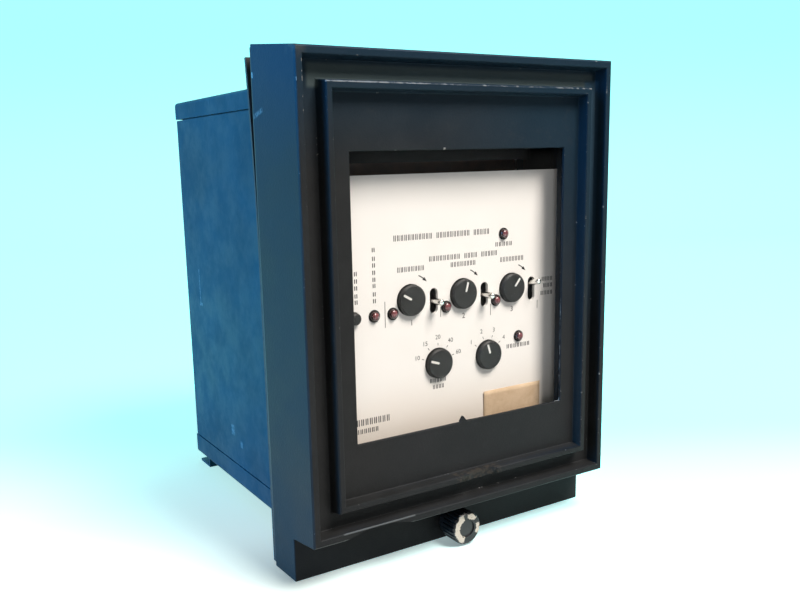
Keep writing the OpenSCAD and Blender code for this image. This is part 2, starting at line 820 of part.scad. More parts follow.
// Round control body behind the sub-panel, with its threaded bush
module control_body(at, r, depth) {
    difference() {
        union() {
            rod(sub_rear_y, sub_rear_y + depth, r, at);
            rod(bush_end_y, sub_rear_y + eps, bushing_r, at);
        }
        rod(bush_end_y - 1, shaft_end_y + 0.5, shaft_r + run, at);
    }
}

module delay_pots() color([0.2, 0.3, 0.35])
    for (i = [0:2]) control_body(knob_at[i], pot_size[0], pot_size[1]);

module selector_switches() color([0.35, 0.3, 0.2])
    for (i = [3:4]) control_body(knob_at[i], switch_size[0], switch_size[1]);

nut_t = 2.2;
knob_nut = 12;
toggle_nut = 8;

// Six-sided nut on a threaded bush
module hex_nut(at, bore, across) {
    difference() {
        rod(sub_y - nut_t, sub_y, across / 2 / cos(30), at, 6);
        rod(sub_y - nut_t - 1, sub_y + 1, bore + run, at);
    }
}

module control_nuts() color("silver") {
    for (at = knob_at) hex_nut(at, bushing_r, knob_nut);
    for (at = toggle_at) hex_nut(at, toggle_bush_r, toggle_nut);
}

knob_face_y = panel_y - knob_proud;
knob_back_y = bush_end_y - 1;
knob_chamfer = 0.6;

// Knob with a fluted skirt and a pointer groove
module knob(i) {
    at = knob_at[i];
    groove_w = 1.15;
    flutes = 30;
    difference() {
        union() {
            taper(knob_face_y, knob_face_y + knob_chamfer, knob_r - knob_chamfer, knob_r, at);
            rod(knob_face_y + knob_chamfer, knob_back_y, knob_r, at);
        }
        for (k = [0:flutes - 1]) {
            a = k * 360 / flutes;
            rod(knob_face_y + 1.4, knob_back_y + 1, 0.35, at + knob_r * [cos(a), sin(a)], 16);
        }
        translate([at.x, knob_face_y - 1, at.y])
            rotate([0, pointer[i], 0])
                span([-groove_w / 2, 0, 0.8], [groove_w / 2, 1.5, knob_r - 1]);
        rod(knob_face_y + 2.2, knob_back_y + 1, shaft_r + run / 2, at);
    }
}

module shaft(i) rod(knob_face_y + 2.4, shaft_end_y, shaft_r, knob_at[i]);

module knob_first() color([0.1, 0.1, 0.11]) knob(0);
module knob_second() color([0.1, 0.1, 0.11]) knob(1);
module knob_third() color([0.1, 0.1, 0.11]) knob(2);
module knob_reset_time() color([0.1, 0.1, 0.11]) knob(3);
module knob_shots() color([0.1, 0.1, 0.11]) knob(4);
module shaft_first() color("silver") shaft(0);
module shaft_second() color("silver") shaft(1);
module shaft_third() color("silver") shaft(2);
module shaft_reset_time() color("silver") shaft(3);
module shaft_shots() color("silver") shaft(4);

toggle_front_y = pivot_y - 1.5;

toggle_body = [7, 12, 13];

module toggle_bodies() color([0.15, 0.25, 0.45])
    for (at = toggle_at)
        difference() {
            union() {
                span(
                    [at.x - toggle_body.x / 2, sub_rear_y, at.y - toggle_body.z / 2],
                    [at.x + toggle_body.x / 2, sub_rear_y + toggle_body.y, at.y + toggle_body.z / 2]);
                rod(toggle_front_y, sub_rear_y + eps, toggle_bush_r, at);
            }
            rod(toggle_front_y - 1, pivot_y + 3, toggle_bore_r, at);
        }

// Bat lever on its ball and pin, tipped up by an angle
module toggle_lever(i) {
    at = toggle_at[i];
    tip_r = 1.55;
    pin_r = 0.6;
    pin_half = ball_r + 0.08;
    arm = pivot_y - panel_y + lever_reach;
    translate([at.x, pivot_y, at.y])
        rotate([-lever_tilt[i], 0, 0]) {
            sphere(ball_r);
            rotate([0, 90, 0]) cylinder(h = 2 * pin_half, r = pin_r, center = true);
            taper(-arm + tip_r, 0, tip_r, 1.1);
            translate([0, -arm + tip_r, 0]) sphere(tip_r);
        }
}

module toggle_lever_first() color("silver") toggle_lever(0);
module toggle_lever_second() color("silver") toggle_lever(1);
module toggle_lever_third() color("silver") toggle_lever(2);

switch_front_y = sub_y - 5;
reset_stem_r = 1.5;
reset_back_y = switch_front_y - reset_travel - 0.6;

module reset_switch() color([0.1, 0.1, 0.1])
    difference() {
        span([reset_at.x - 4, switch_front_y, reset_at.y - 4], [reset_at.x + 4, sub_y, reset_at.y + 4]);
        rod(switch_front_y - 1, sub_y - 0.8, reset_stem_r + run, reset_at);
    }

module reset_button() color([0.05, 0.05, 0.05]) {
    face_y = panel_y - knob_proud;
    taper(face_y, face_y + 0.6, reset_r - 0.6, reset_r, reset_at);
    rod(face_y + 0.6, reset_back_y, reset_r, reset_at);
    rod(reset_back_y - eps, switch_front_y + 1.5, reset_stem_r, reset_at);
}

// Boards and parts inside the chassis

board_t = 1.6;
board_gap = 8;
board_y = 14;
board_end = chassis_end - 6;
board_half_h = contact_z - 8;
board_x = chassis_in - board_gap;
board_face = board_x - board_t;

// Circuit board with the four posts that hold it to the side sheet
module board(s) {
    x0 = s * board_face;
    x1 = s * board_x;
    span([min(x0, x1), board_y, -board_half_h], [max(x0, x1), board_end, board_half_h]);
    for (y = [board_y + 6, board_end - 6], z = [-1, 1])
        translate([s * board_x, y, z * (board_half_h - 6)])
            rotate([0, s * 90, 0])
                translate([0, 0, -eps]) cylinder(h = board_gap + eps, r = 2.5);
}

module main_board() color([0.1, 0.35, 0.15]) board(-1);
module power_board() color([0.1, 0.35, 0.15]) board(1);

core = [54, 28, 45];
core_leg = 9;
core_y = chassis_end - 8 - core.y;
coil_gap = 0.4;
coil_over = 8;
coil_half = core.x / 2 - 1;

// Shell core: two windows round a middle leg
module transformer_core() color([0.45, 0.45, 0.47])
    difference() {
        span([-core.x / 2, core_y, -core.z / 2], [core.x / 2, core_y + core.y, core.z / 2]);
        for (s = [-1, 1])
            translate([s * 2 * core_leg, 0, 0])
                span(
                    [-core_leg, core_y - 1, -core.z / 2 + core_leg],
                    [core_leg, core_y + core.y + 1, core.z / 2 - core_leg]);
    }

module transformer_coil() color([0.55, 0.3, 0.12]) {
    half_z = core.z / 2 - core_leg - coil_gap;
    bore = core_leg + coil_gap;
    difference() {
        span([-coil_half, core_y - coil_over, -half_z], [coil_half, core_y + core.y + coil_over, half_z]);
        span([-bore, core_y - coil_gap, -half_z - 1], [bore, core_y + core.y + coil_gap, half_z + 1]);
    }
}

relay_size = [20, 15, 30];
relay_pitch = 20;
relay_z = 12;

module output_relays() color([0.2, 0.25, 0.55])
    for (i = [0:3])
        translate([board_face - relay_size.x, board_y + 8 + i * relay_pitch, relay_z]) cube(relay_size);

can_r = 8;
can_l = 26;
can_pitch = 22;
can_z = -28;

module capacitors() color([0.1, 0.15, 0.4])
    for (i = [0:2])
        translate([board_face - can_l, board_y + 20 + i * can_pitch, can_z])
            rotate([0, 90, 0]) cylinder(h = can_l, r = can_r);

cover();
window_pane();
pane_retainer();
retainer_screws();
cover_seal();
thumb_nut();
nut_clip();
case_wrap();
case_lid();
case_pan();
mounting_flange();
panel_gasket();
mounting_studs();
cover_stud();
terminal_block_upper();
terminal_block_lower();
terminal_clamps();
terminal_screws();
case_contact_block_upper();
case_contact_block_lower();
chassis_contact_block_upper();
chassis_contact_block_lower();
contact_fingers();
connection_plug_upper();
connection_plug_lower();
plug_contacts();
slide_rails();
chassis_side_left();
chassis_side_right();
chassis_back();
front_panel();
sub_panel();
panel_spacers();
indicator_lamps();
delay_pots();
selector_switches();
control_nuts();
toggle_bodies();
reset_switch();
knob_first();
knob_second();
knob_third();
knob_reset_time();
knob_shots();
shaft_first();
shaft_second();
shaft_third();
shaft_reset_time();
shaft_shots();
toggle_lever_first();
toggle_lever_second();
toggle_lever_third();
reset_button();
main_board();
power_board();
transformer_core();
transformer_coil();
output_relays();
capacitors();
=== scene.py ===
import json
import math

import bmesh
import bpy
from mathutils import Matrix, Vector


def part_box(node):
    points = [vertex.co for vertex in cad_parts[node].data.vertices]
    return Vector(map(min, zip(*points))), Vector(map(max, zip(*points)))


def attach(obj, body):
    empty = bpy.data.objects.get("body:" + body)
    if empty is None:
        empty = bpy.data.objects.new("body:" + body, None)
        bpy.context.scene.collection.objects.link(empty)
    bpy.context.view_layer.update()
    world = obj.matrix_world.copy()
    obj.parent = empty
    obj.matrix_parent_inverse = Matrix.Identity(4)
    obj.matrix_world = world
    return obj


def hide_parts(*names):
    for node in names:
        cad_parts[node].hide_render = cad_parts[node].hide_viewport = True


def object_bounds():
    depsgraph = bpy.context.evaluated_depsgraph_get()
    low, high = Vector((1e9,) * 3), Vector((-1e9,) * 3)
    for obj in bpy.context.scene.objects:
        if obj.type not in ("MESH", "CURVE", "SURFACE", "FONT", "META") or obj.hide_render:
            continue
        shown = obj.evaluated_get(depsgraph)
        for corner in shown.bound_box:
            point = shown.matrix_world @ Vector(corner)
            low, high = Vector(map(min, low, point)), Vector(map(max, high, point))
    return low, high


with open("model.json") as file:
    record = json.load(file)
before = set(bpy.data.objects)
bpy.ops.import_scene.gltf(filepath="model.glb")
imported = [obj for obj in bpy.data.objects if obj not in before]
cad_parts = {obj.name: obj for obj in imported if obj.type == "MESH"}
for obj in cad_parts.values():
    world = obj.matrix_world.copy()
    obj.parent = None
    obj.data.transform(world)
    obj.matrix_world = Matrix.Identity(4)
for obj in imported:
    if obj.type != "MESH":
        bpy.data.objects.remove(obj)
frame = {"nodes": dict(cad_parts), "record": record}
cad_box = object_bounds()

MM = 0.001
NODES = frame["nodes"]

# Camera, fitted to the photograph's 800 x 600 frame
IMAGE_W, IMAGE_H = 800, 600
FOCAL_PX = 849.07
PRINCIPAL_PX = (387.8, 321.1)
CAMERA_MM = (-227.52, -340.23, 71.15)
CAMERA_YAW, CAMERA_PITCH, CAMERA_ROLL = 31.525, -10.859, 1.287
SENSOR = 36

# Pointer of each knob, clockwise from the top
POINTERS = {"first": -60, "second": 15, "third": 39, "reset_time": -72, "shots": -18}


# Nodes of a material

class Graph:
    """One material. Each method adds a node and returns the socket with its result."""

    def __init__(self, name, **constants):
        self.material = bpy.data.materials.new(name)
        self.material.use_nodes = True
        self.tree = self.material.node_tree
        self.shader = self.tree.nodes["Principled BSDF"]
        self.place = self.node("ShaderNodeTexCoord").outputs["Object"]
        self.x, self.y, self.z = self.node("ShaderNodeSeparateXYZ", {"Vector": self.place}).outputs
        for key, value in constants.items():
            self.shader.inputs[key.replace("_", " ")].default_value = value

    def wire(self, node, inputs):
        for key, value in inputs.items():
            socket = node.inputs[key]
            if isinstance(value, bpy.types.NodeSocket):
                self.tree.links.new(value, socket)
            elif isinstance(value, tuple) and len(value) == 3 and socket.type == "RGBA":
                socket.default_value = (*value, 1)
            else:
                socket.default_value = value

    def node(self, kind, inputs=None, **settings):
        made = self.tree.nodes.new(kind)
        for key, value in settings.items():
            setattr(made, key, value)
        self.wire(made, inputs or {})
        return made

    def math(self, operation, a, b=0.0, clamp=False):
        return self.node("ShaderNodeMath", {0: a, 1: b}, operation=operation, use_clamp=clamp).outputs[0]

    def chain(self, operation, values):
        result = values[0]
        for value in values[1:]:
            result = self.math(operation, result, value)
        return result

    def times(self, *values):
        return self.chain("MULTIPLY", values)

    def most(self, *values):
        return self.chain("MAXIMUM", values)

    def plus(self, *values):
        return self.chain("ADD", values)

    def fade(self, value, start, end, low=0.0, high=1.0):
        """Smooth step from low at start to high at end."""
        inputs = {"Value": value, "From Min": start, "From Max": end, "To Min": low, "To Max": high}
        return self.node("ShaderNodeMapRange", inputs, interpolation_type="SMOOTHSTEP").outputs[0]

    def band(self, value, low, high, soft):
        """One between low and high, falling to nought over soft."""
        middle = (low + high) / 2
        half = (high - low) / 2
        away = self.math("ABSOLUTE", self.math("SUBTRACT", value, middle))
        return self.fade(away, half, half + soft, 1.0, 0.0)

    def zone(self, soft, x=None, y=None, z=None):
        """One inside a box given in millimetres."""
        result = 1.0
        for value, limits in ((self.x, x), (self.y, y), (self.z, z)):
            if limits:
                inside = self.band(value, limits[0] * MM, limits[1] * MM, soft * MM)
                result = inside if result == 1.0 else self.times(result, inside)
        return result

    def stretched(self, x=1.0, y=1.0, z=1.0):
        return self.node("ShaderNodeMapping", {"Vector": self.place, "Scale": (x, y, z)}).outputs[0]

    def noise(self, size, detail=3.0, roughness=0.5, place=None):
        """Noise with features of about that many millimetres."""
        inputs = {"Vector": place or self.place, "Scale": 1 / (size * MM)}
        inputs.update({"Detail": detail, "Roughness": roughness})
        return self.node("ShaderNodeTexNoise", inputs).outputs["Fac"]

    def cells(self, size):
        inputs = {"Vector": self.place, "Scale": 1 / (size * MM)}
        return self.node("ShaderNodeTexVoronoi", inputs).outputs["Distance"]

    def attribute(self, name):
        return self.node("ShaderNodeAttribute", attribute_name=name).outputs["Fac"]

    def edges(self, reach):
        """One on the piece's edges, falling to nought over that many millimetres."""
        rounded = self.node("ShaderNodeBevel", {"Radius": reach * MM}, samples=4).outputs["Normal"]
        return self.facing(rounded, 0.985, 0.85)

    def facing(self, direction, start, end):
        """Smooth step over how far the surface is turned towards a direction."""
        flat = self.node("ShaderNodeNewGeometry").outputs["Normal"]
        lean = self.node("ShaderNodeVectorMath", {0: flat, 1: direction}, operation="DOT_PRODUCT")
        return self.fade(lean.outputs["Value"], start, end)

    def mix(self, factor, a, b):
        made = self.node("ShaderNodeMix", data_type="RGBA")
        self.wire(made, {0: factor, 6: a, 7: b})
        return made.outputs[2]

    def bump(self, height, depth):
        """Relief of that depth in millimetres."""
        inputs = {"Height": height, "Distance": depth * MM, "Strength": 1.0}
        return self.node("ShaderNodeBump", inputs).outputs["Normal"]

    def finish(self, colour, roughness, normal=None):
        self.wire(self.shader, {"Base Color": colour, "Roughness": roughness})
        if normal is not None:
            self.wire(self.shader, {"Normal": normal})
        return self.material


# Materials, one function for each slot or family

def cover_moulding():
    """Pebbled black moulding, worn pale along its lips, with painted shade towards the top, painted light
    in the channel and painted glints by the window.
    """
    g = Graph("cover_moulding", IOR=1.42, Specular_IOR_Level=0.2, Specular_Tint=(0.9, 0.95, 1, 1))
    pebble = g.noise(0.9, 2, 0.5)
    cloud = g.noise(26, 4, 0.6)
    chips = g.noise(2.6, 6, 0.7)
    edge = g.attribute("edge")
    rim_top = g.zone(0.25, y=(-42.3, -41.9), z=(100.6, 102))
    rim_left = g.zone(20, x=(-68, -40))
    rim_right = g.zone(4, x=(49, 66))
    left_inner = g.zone(1, x=(-81, -78.5), y=(-43, -40.5), z=(84, 110))
    right_lips = g.zone(3, x=(66, 84), y=(-44, -40))
    wave_edge = g.zone(1.2, x=(-68, -33), y=(-43, -40.8), z=(-89, -84.5))
    urge = g.plus(
        g.times(rim_top, 0.12), g.times(rim_top, rim_left, 0.14), g.times(rim_top, rim_right, 0.06),
        g.times(left_inner, 0.08), g.times(right_lips, 0.03), chips)
    worn = g.times(edge, g.fade(urge, 0.63, 0.73), g.fade(rim_top, 0, 1, 1, 0.5))
    slant = g.plus(g.z, g.times(g.y, 0.316))
    streak = g.times(g.zone(1, x=(-86, -82), y=(-12.5, -5)), g.band(slant, 87 * MM, 88 * MM, 0.9 * MM))
    scuff = g.times(streak, g.fade(g.noise(1.3, 4), 0.3, 0.6), 0.3)
    # A pale spot on the rear left edge, and painted glints: a speck on the window's top edge, and a pale
    # line and corner where the pane meets the frame on the right
    spot_and_glints = g.most(
        g.zone(0.4, x=(-86, -83.5), y=(-5.2, -3.5), z=(104.8, 106.6)),
        g.zone(0.2, x=(-11.6, -10.8), y=(-38, -36), z=(74, 75)),
        g.times(g.zone(0.1, x=(57, 59), y=(-36.6, -36.2), z=(-44, 3)), g.fade(g.noise(6, 4), 0.4, 0.6)),
        g.zone(0.1, x=(55, 59), y=(-36.6, -36.2), z=(-54, -48)))
    corner = g.zone(6, x=(-90, -82), y=(-43, -39), z=(114, 120))
    rubbed = g.times(corner, g.fade(g.noise(4, 4), 0.45, 0.65), 0.35)
    dust = g.times(g.fade(g.noise(7, 5, 0.7), 0.55, 0.75), 0.25)
    dark = g.mix(g.fade(cloud, 0.3, 0.7), (0.0155, 0.016, 0.0165), (0.0215, 0.0222, 0.0228))
    # Painted shade: the colour turns darker and bluer towards the top and the upper right
    shade_up_right = g.fade(g.plus(g.z, g.times(g.x, 0.9)), 20 * MM, 150 * MM)
    painted_cool_shade = g.most(g.fade(g.z, 60 * MM, 115 * MM), shade_up_right)
    painted_shade_colour = g.mix(g.times(painted_cool_shade, 0.8), dark, (0.003, 0.021, 0.04))
    dusty = g.mix(g.times(dust, 0.7), painted_shade_colour, (0.034, 0.037, 0.039))
    break_zone = g.zone(1, x=(-9, 16), y=(-42.3, -38.5), z=(-79, -73))
    broken = g.times(break_zone, g.fade(g.noise(2, 4), 0.42, 0.6))
    filled = g.mix(g.times(broken, 0.4), dusty, (0.075, 0.06, 0.045))
    rubbed_edge = g.mix(g.times(edge, wave_edge, 0.6), filled, (0.13, 0.14, 0.14))
    bare = g.mix(rubbed, rubbed_edge, (0.12, 0.105, 0.085))
    # Dust and painted light in the channel, at the top and on the right: paler colour where the lips'
    # shadow falls, bluish on the right
    channel_top_light = g.zone(2, x=(-74, 76), y=(-36.2, -34), z=(100, 107))
    channel_right_light = g.times(
        g.zone(2, x=(73, 80), y=(-36.2, -34), z=(-70, 104)), g.fade(g.z, -30 * MM, 80 * MM))
    dust_and_painted_light = g.mix(channel_right_light, g.mix(channel_top_light, bare, (0.06, 0.085, 0.09)), (0.03, 0.065, 0.1))
    colour = g.mix(g.most(worn, scuff, spot_and_glints), dust_and_painted_light, (0.32, 0.32, 0.31))
    roughness = g.fade(cloud, 0.2, 0.8, 0.48, 0.64)
    return g.finish(colour, roughness, g.bump(pebble, 0.09))


def case_paint():
    """Dark paint on sheet steel, scratched along the sides."""
    g = Graph("case_paint", IOR=1.38, Specular_IOR_Level=0.18, Specular_Tint=(0.1, 0.8, 1, 1))
    cloud = g.noise(40, 4, 0.6)
    peel = g.noise(1.6, 2)
    upright = g.noise(1.2, 3, 0.5, g.stretched(z=0.06))
    patch = g.fade(g.noise(30, 2), 0.55, 0.7)
    scratch = g.times(g.fade(upright, 0.7, 0.74), patch)
    speck = g.times(g.fade(g.noise(1.8, 5, 0.7), 0.68, 0.72), g.fade(g.noise(18, 2), 0.5, 0.7))
    long_scratch = g.zone(0.4, x=(-68, -66), y=(127.4, 128.2), z=(-9, 11))
    hook = g.zone(0.6, x=(-68, -66), y=(125.5, 129), z=(-9.6, -8.4))
    low_scuff = g.zone(1.5, x=(-68, -66), y=(86.5, 89.5), z=(-76, -72))
    second_scuff = g.zone(1.2, x=(-68, -66), y=(75.5, 77.5), z=(-81, -78.5))
    marks = g.most(long_scratch, hook, low_scuff, second_scuff)
    placed = g.times(marks, g.fade(g.noise(1.4, 4, 0.7), 0.35, 0.6))
    rubbed = g.times(g.edges(0.5), g.fade(g.noise(5, 5, 0.7), 0.5, 0.65))
    base = g.mix(g.fade(cloud, 0.3, 0.7), (0.002, 0.03, 0.047), (0.003, 0.04, 0.062))
    colour = g.mix(g.times(g.most(scratch, speck, placed, rubbed), 0.45), base, (0.2, 0.26, 0.28))
    roughness = g.fade(g.noise(12, 5, 0.6), 0.3, 0.7, 0.4, 0.56)
    return g.finish(colour, roughness, g.bump(peel, 0.03))


def panel_white():
    """Warm white paint, yellowed towards the bottom."""
    g = Graph("panel_white", IOR=1.45)
    cloud = g.noise(30, 4, 0.6)
    low = g.math("ADD", g.fade(g.z, -20 * MM, -60 * MM), g.times(g.math("SUBTRACT", cloud, 0.5), 0.6), True)
    clean = g.mix(g.fade(cloud, 0.3, 0.7), (0.84, 0.82, 0.785), (0.88, 0.86, 0.83))
    aged = g.mix(g.times(low, 0.75), clean, (0.67, 0.58, 0.49))
    speck = g.fade(g.noise(1.4, 4, 0.7), 0.7, 0.76)
    colour = g.mix(g.times(speck, 0.35), aged, (0.4, 0.34, 0.27))
    return g.finish(colour, g.fade(cloud, 0.2, 0.8, 0.4, 0.55), g.bump(g.noise(0.8, 2), 0.01))


def moulded(name, dark, light, rough, grain=0.02, **constants):
    """Moulded plastic with a slight mottle."""
    g = Graph(name, IOR=1.5, **constants)
    cloud = g.noise(9, 4, 0.6)
    edge = g.times(g.edges(0.3), g.fade(g.noise(1.5, 4, 0.7), 0.5, 0.6))
    pale = tuple(min(1, 0.18 + 1.5 * c) for c in light)
    colour = g.mix(g.times(edge, 0.35), g.mix(g.fade(cloud, 0.3, 0.7), dark, light), pale)
    roughness = g.fade(cloud, 0.2, 0.8, rough - 0.08, rough + 0.08)
    return g.finish(colour, roughness, g.bump(g.noise(0.7, 2), grain))


def metal(name, dark, light, rough=0.3):
    """Metal with fine upright brushing and a little tarnish."""
    g = Graph(name, Metallic=1.0)
    brush = g.noise(0.4, 3, 0.6, g.stretched(z=0.05))
    stain = g.fade(g.noise(7, 5, 0.65), 0.35, 0.7)
    colour = g.mix(stain, light, dark)
    roughness = g.plus(g.times(brush, 0.16), g.times(stain, 0.12), rough - 0.1)
    return g.finish(colour, roughness, g.bump(brush, 0.006))


def nut_black():
    """Black nut with what is left of a pale ring on its face."""
    g = Graph("nut_black", IOR=1.5)
    low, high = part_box("thumb_nut")
    axis_z = (low.z + high.z) / 2
    radius = (high.x - low.x) / 2
    up = g.math("SUBTRACT", g.z, axis_z)
    away = g.math("SQRT", g.plus(g.times(g.x, g.x), g.times(up, up)))
    turn = g.math("ARCTAN2", g.x, up)
    face = g.fade(g.y, low.y + 1.2 * MM, low.y + 0.9 * MM)
    wobble = g.times(g.math("SUBTRACT", g.noise(1.9, 4, 0.6), 0.5), 0.36 * radius)
    arcs = [
        g.times(
            g.band(turn, math.radians(a), math.radians(b), math.radians(6)),
            g.band(g.plus(away, wobble), inner * radius, 0.88 * radius, 0.05 * radius))
        for a, b, inner in ((-160, -20, 0.56), (6, 48, 0.64), (78, 118, 0.68))
    ]
    left = g.times(face, g.most(*arcs), g.fade(g.noise(1.1, 5, 0.7), 0.33, 0.42))
    middle = g.times(face, g.fade(away, 0.5 * radius, 0.44 * radius))
    black = g.mix(g.fade(g.noise(3, 4), 0.3, 0.7), (0.012, 0.012, 0.013), (0.022, 0.022, 0.023))
    centred = g.mix(g.times(middle, 0.8), black, (0.03, 0.031, 0.032))
    colour = g.mix(left, centred, (0.72, 0.68, 0.58))
    return g.finish(colour, g.fade(left, 0, 1, 0.3, 0.7), g.bump(left, 0.05))


def lamp_red():
    """Dark red lens, unlit, faceted inside, with painted shade on its rim where it turns away from the
    front.
    """
    g = Graph("lamp_red", IOR=1.5, Coat_Weight=0.6, Coat_Roughness=0.08)
    facets = g.cells(0.7)
    lens = g.mix(g.fade(facets, 0.1, 0.7), (0.3, 0.1, 0.105), (0.14, 0.035, 0.04))
    # Painted shade: the lens turns near black on its rim, where it faces away from the front
    colour = g.mix(g.facing((0, -1, 0), 0.62, 0.82), (0.035, 0.012, 0.012), lens)
    return g.finish(colour, g.fade(facets, 0, 1, 0.15, 0.3), g.bump(facets, 0.03))


def pane_clear():
    """Clear pane with a little haze."""
    g = Graph("pane", IOR=1.49)
    haze = g.noise(25, 4, 0.6)
    g.wire(g.shader, {"Alpha": g.fade(haze, 0.3, 0.8, 0.002, 0.005)})
    return g.finish((0.75, 0.8, 0.8), g.fade(haze, 0.3, 0.7, 0.05, 0.12))


def gasket_rubber():
    g = Graph("gasket_rubber", IOR=1.5)
    bloom = g.fade(g.noise(5, 5, 0.65), 0.4, 0.7)
    colour = g.mix(bloom, (0.01, 0.01, 0.011), (0.03, 0.03, 0.031))
    return g.finish(colour, g.fade(bloom, 0, 1, 0.6, 0.85), g.bump(g.noise(1, 3), 0.06))


def board_green():
    """Coated board with tracks."""
    g = Graph("board_green", IOR=1.5)
    tracks = g.node(
        "ShaderNodeTexBrick",
        {"Vector": g.stretched(0.3, 1, 1), "Scale": 90.0, "Mortar Size": 0.09, "Color1": (0, 0, 0),
         "Color2": (0.3, 0.3, 0.3), "Mortar": (1, 1, 1)}).outputs["Fac"]
    colour = g.mix(tracks, (0.02, 0.1, 0.04), (0.05, 0.2, 0.08))
    return g.finish(colour, g.fade(tracks, 0, 1, 0.35, 0.45), g.bump(tracks, 0.03))


def core_steel():
    """Stack of thin sheets."""
    g = Graph("core_steel", Metallic=0.9)
    layers = g.noise(0.6, 2, 0.5, g.stretched(0.02, 1, 0.02))
    colour = g.mix(layers, (0.12, 0.12, 0.12), (0.34, 0.34, 0.35))
    return g.finish(colour, g.fade(layers, 0.3, 0.7, 0.4, 0.6), g.bump(layers, 0.1))


def coil_wrap():
    """Varnished wrap with the turns showing through."""
    g = Graph("coil_wrap", IOR=1.5)
    inputs = {"Vector": g.place, "Scale": 500.0, "Distortion": 0.6}
    turns = g.node("ShaderNodeTexWave", inputs, bands_direction="Z").outputs["Fac"]
    colour = g.mix(turns, (0.16, 0.06, 0.02), (0.3, 0.13, 0.04))
    return g.finish(colour, g.fade(turns, 0, 1, 0.35, 0.5), g.bump(turns, 0.1))


def print_ink():
    """Worn black print."""
    g = Graph("print_ink", IOR=1.45)
    worn = g.fade(g.noise(0.6, 4, 0.7), 0.55, 0.75)
    return g.finish(g.mix(g.times(worn, 0.5), (0.02, 0.018, 0.022), (0.3, 0.28, 0.27)), 0.6)


def pointer_white():
    g = Graph("pointer_white", IOR=1.45)
    dirt = g.fade(g.noise(0.9, 4, 0.7), 0.55, 0.75)
    return g.finish(g.mix(g.times(dirt, 0.4), (0.85, 0.84, 0.8), (0.4, 0.38, 0.34)), 0.5)


def label_tan():
    """Bare paper label, browned and stained."""
    g = Graph("label_tan", IOR=1.45)
    stain = g.fade(g.noise(9, 5, 0.65), 0.35, 0.7)
    fibres = g.noise(0.5, 3, 0.6, g.stretched(0.2, 1, 1))
    aged = g.mix(stain, (0.63, 0.475, 0.325), (0.52, 0.375, 0.245))
    colour = g.mix(g.times(fibres, 0.25), aged, (0.36, 0.23, 0.1))
    return g.finish(colour, 0.75, g.bump(fibres, 0.02))


def studio_paper():
    """White table with a soft glow of its own, that turns to pale blue behind the relay."""
    g = Graph("studio_paper", IOR=1.4)
    yaw = math.radians(CAMERA_YAW)
    ahead = g.plus(g.times(g.x, math.sin(yaw)), g.times(g.y, math.cos(yaw)))
    far = g.fade(ahead, -0.14, 0.16)
    glow = g.mix(far, (0.9, 0.97, 1), (0.55, 1, 1))
    near = g.fade(g.y, -0.05, 0.04, 0.12, 0.6)
    g.wire(g.shader, {"Emission Color": glow, "Emission Strength": g.fade(far, 0.0, 1.0, near, 0.75)})
    soft = g.fade(g.noise(400, 2), 0.3, 0.7)
    white = g.mix(soft, (0.84, 0.87, 0.88), (0.87, 0.9, 0.9))
    foot = g.mix(g.fade(ahead, 0.5, 1.6), (0.17, 0.97, 1), (0.25, 0.97, 1))
    wall = g.mix(g.fade(g.z, -0.1, 0.5), foot, (0.02, 0.97, 1))
    return g.finish(g.mix(far, white, wall), 0.8)


MATERIALS = {
    "cover_moulding": cover_moulding(),
    "black_moulding": moulded(
        "black_moulding", (0.003, 0.004, 0.0045), (0.007, 0.009, 0.01), 0.55, Specular_IOR_Level=0.2),
    "brown_moulding": moulded("brown_moulding", (0.05, 0.02, 0.01), (0.1, 0.04, 0.02), 0.4),
    "pane": pane_clear(),
    "gasket_rubber": gasket_rubber(),
    "nut_black": nut_black(),
    "case_paint": case_paint(),
    "black_paint": moulded("black_paint", (0.005, 0.006, 0.008), (0.01, 0.012, 0.015), 0.5),
    "steel": metal("steel", (0.33, 0.31, 0.28), (0.6, 0.6, 0.58)),
    "contact_metal": metal("contact_metal", (0.35, 0.25, 0.1), (0.7, 0.55, 0.28), 0.25),
    "panel_white": panel_white(),
    "lamp_red": lamp_red(),
    "control_body": moulded("control_body", (0.03, 0.04, 0.07), (0.06, 0.08, 0.13), 0.4),
    "knob_black": moulded("knob_black", (0.006, 0.006, 0.006), (0.011, 0.011, 0.011), 0.55, 0.03),
    "lever_chrome": metal("lever_chrome", (0.5, 0.47, 0.42), (0.82, 0.82, 0.8), 0.2),
    "board_green": board_green(),
    "core_steel": core_steel(),
    "coil_wrap": coil_wrap(),
}
INK = print_ink()
POINTER_WHITE = pointer_white()
LABEL_TAN = label_tan()

for part in frame["record"]["subparts"]:
    shown = NODES[part["node"]]
    shown.data.materials.clear()
    shown.data.materials.append(MATERIALS[part["material_slot"]])


# Building pieces

# Edges up to this angle are shaded smooth
SMOOTH_ANGLE = math.radians(35)
# Edges over this angle are rounded
SHARP_ANGLE = math.radians(50)
# Faces up to this angle apart are one flat face
FLAT_ANGLE = math.radians(0.5)
# Part of the normal that points along Y, on faces that count as slanted
SLANT_FROM, SLANT_TO = 0.5, 0.9


def mesh_object(name, bm, material):
    """Turns a bmesh into a smooth object in the scene."""
    mesh = bpy.data.meshes.new(name)
    bm.to_mesh(mesh)
    bm.free()
    mesh.materials.append(material)
    for polygon in mesh.polygons:
        polygon.use_smooth = True
    made = bpy.data.objects.new(name, mesh)
    bpy.context.scene.collection.objects.link(made)
    return made


def piece(name, bm, material, body):
    """Turns a bmesh into a named piece that rides on a body."""
    made = mesh_object(name, bm, material)
    made.data.set_sharp_from_angle(angle=SMOOTH_ANGLE)
    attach(made, body)
    return made


def node_form(node):
    """The node's form as a bmesh with its corners joined."""
    bm = bmesh.new()
    bm.from_mesh(NODES[node].data)
    bmesh.ops.remove_doubles(bm, verts=bm.verts, dist=1e-6)
    return bm


